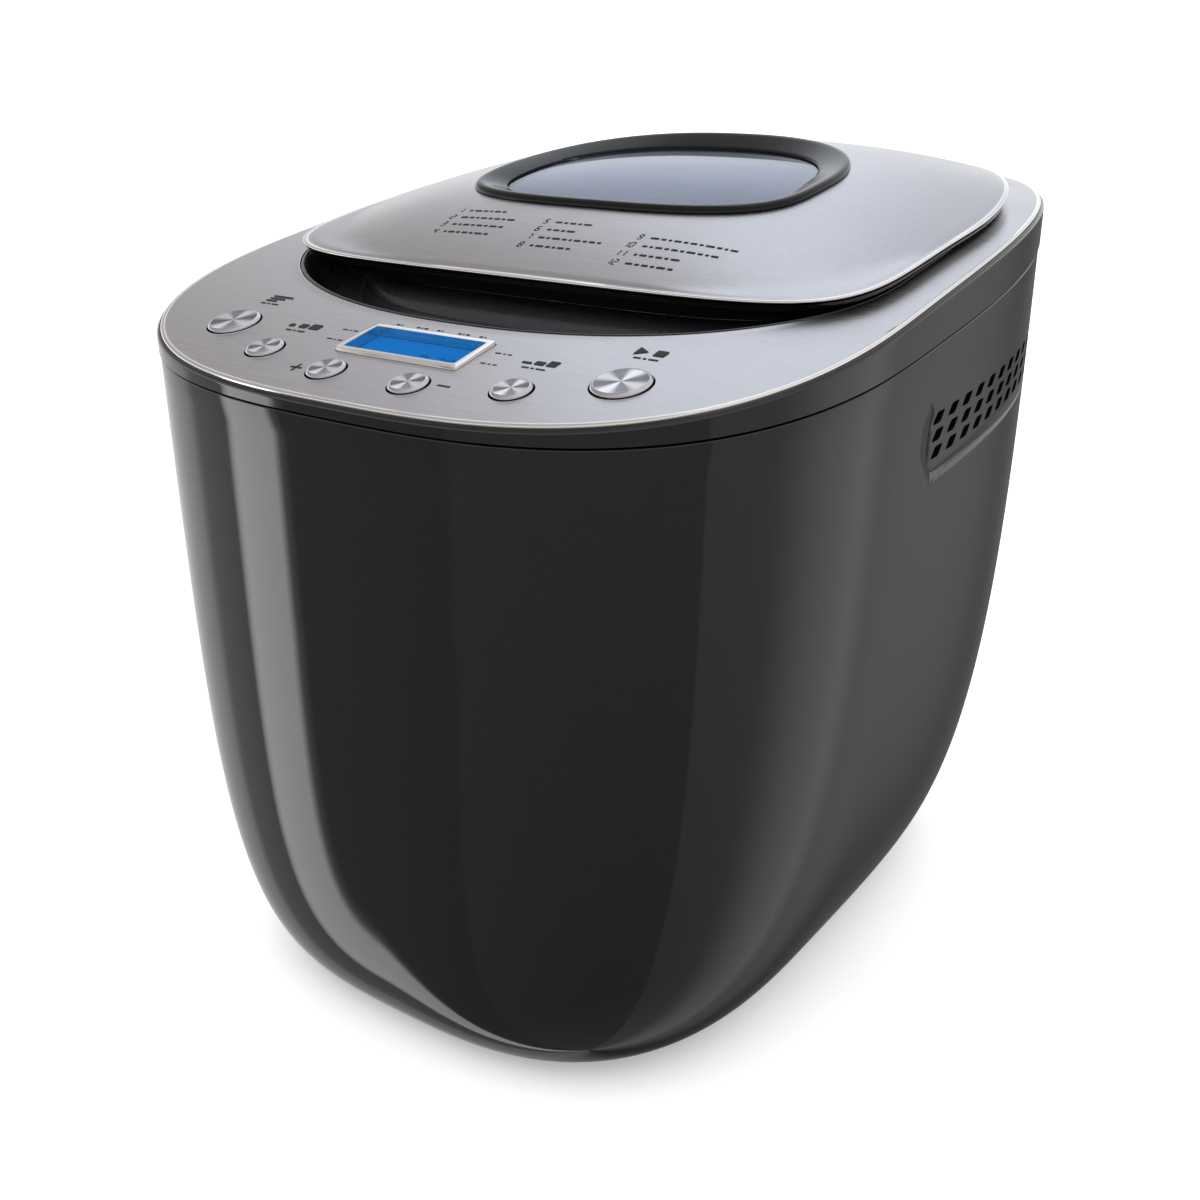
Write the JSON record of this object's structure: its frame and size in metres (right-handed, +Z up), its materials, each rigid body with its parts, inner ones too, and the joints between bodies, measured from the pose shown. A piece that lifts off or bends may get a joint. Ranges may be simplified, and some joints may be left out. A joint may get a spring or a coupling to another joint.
{
  "type": "bread machine",
  "caption": "Countertop bread machine: tapered gloss-black body, sloping steel control panel with display and keys, domed steel lid with a viewing window.",
  "frame": {"origin": "middle of the bounding box at floor level", "axes": "+Z up, front (keys) towards -Y, +X to the right when facing the back"},
  "size_m": [0.273, 0.3385, 0.2939],
  "materials": {
    "gloss_black": "gloss moulded",
    "matt_black": "matt moulded",
    "rubber": "moulded",
    "brushed_steel": "brushed across the width",
    "spun_aluminium": "spun",
    "glass": "clear",
    "display": "backlit liquid crystal cell",
    "board": "lacquered circuit board",
    "plain_steel": "as rolled",
    "brass": "turned",
    "white_nylon": "moulded",
    "nonstick": "dark non-stick coating"
  },
  "bodies": {
    "housing": {"body_shell": "gloss_black", "base_plate": "matt_black", "foot_front_left": "rubber", "foot_front_right": "rubber", "foot_rear_left": "rubber", "foot_rear_right": "rubber", "mains_gland": "rubber", "upper_housing": "gloss_black", "steel_fascia": "brushed_steel", "display_frame": "spun_aluminium", "display_lens": "glass", "display_module": "display", "control_board": "board", "power_board": "board", "oven_chamber": "plain_steel", "heating_element": "plain_steel", "temperature_sensor": "brass", "drive_stand": "plain_steel", "drive_bush": "brass", "motor_stand": "plain_steel", "motor": "plain_steel", "bread_pan": "nonstick", "pan_foot": "plain_steel", "pan_bush": "brass", "hinge_bracket_left": "matt_black", "hinge_bracket_right": "matt_black", "hinge_pin_left": "plain_steel", "hinge_pin_right": "plain_steel", "drive_belt": "rubber"},
    "lid": {"lid_shell": "gloss_black", "lid_skin": "brushed_steel", "window_frame": "gloss_black", "window_glass": "glass", "window_inner_glass": "glass", "lid_liner": "plain_steel", "lid_gasket": "rubber", "hinge_arm_left": "plain_steel", "hinge_arm_right": "plain_steel"},
    "motor_rotor": {"motor_shaft": "plain_steel", "motor_pulley": "white_nylon"},
    "drive_rotor": {"drive_shaft": "plain_steel", "drive_pulley": "white_nylon", "drive_coupling": "plain_steel"},
    "kneader": {"pan_spindle": "plain_steel", "kneading_paddle": "nonstick"},
    "bail": {"pan_bail": "plain_steel"},
    "menu_key": {"menu_button": "spun_aluminium"},
    "size_key": {"size_button": "spun_aluminium"},
    "plus_key": {"plus_button": "spun_aluminium"},
    "minus_key": {"minus_button": "spun_aluminium"},
    "crust_key": {"crust_button": "spun_aluminium"},
    "start_key": {"start_button": "spun_aluminium"}
  },
  "joints": [
    {"name": "lid_hinge", "type": "hinge", "parent": "housing", "child": "lid", "pos_m": [0, 0.141, 0.2762], "axis": [-1, 0, 0], "range_deg": [0, 85]},
    {"name": "motor_spin", "type": "hinge", "parent": "housing", "child": "motor_rotor", "pos_m": [0, -0.1, 0.05], "axis": [0, 0, 1], "continuous": true},
    {"name": "drive_spin", "type": "hinge", "parent": "housing", "child": "drive_rotor", "pos_m": [0, 0.03, 0.05], "axis": [0, 0, 1], "continuous": true},
    {"name": "paddle_spin", "type": "hinge", "parent": "housing", "child": "kneader", "pos_m": [0, 0.03, 0.1], "axis": [0, 0, 1], "continuous": true},
    {"name": "bail_lift", "type": "hinge", "parent": "housing", "child": "bail", "pos_m": [0, 0.03, 0.214], "axis": [-1, 0, 0], "range_deg": [0, 10]},
    {"name": "menu_press", "type": "slide", "parent": "housing", "child": "menu_key", "axis": [0, 0.2288, -0.9735], "range_m": [0, 0.0012], "stiffness_N_per_m": 200},
    {"name": "size_press", "type": "slide", "parent": "housing", "child": "size_key", "axis": [0, 0.238, -0.9713], "range_m": [0, 0.0012], "stiffness_N_per_m": 200},
    {"name": "plus_press", "type": "slide", "parent": "housing", "child": "plus_key", "axis": [0, 0.2424, -0.9702], "range_m": [0, 0.0012], "stiffness_N_per_m": 200},
    {"name": "minus_press", "type": "slide", "parent": "housing", "child": "minus_key", "axis": [0, 0.2424, -0.9702], "range_m": [0, 0.0012], "stiffness_N_per_m": 200},
    {"name": "crust_press", "type": "slide", "parent": "housing", "child": "crust_key", "axis": [0, 0.238, -0.9713], "range_m": [0, 0.0012], "stiffness_N_per_m": 200},
    {"name": "start_press", "type": "slide", "parent": "housing", "child": "start_key", "axis": [0, 0.2288, -0.9735], "range_m": [0, 0.0012], "stiffness_N_per_m": 200}
  ],
  "couplings": [
    {"joint": "motor_spin", "follows": "drive_spin", "ratio": 4},
    {"joint": "paddle_spin", "follows": "drive_spin", "ratio": 1}
  ]
}
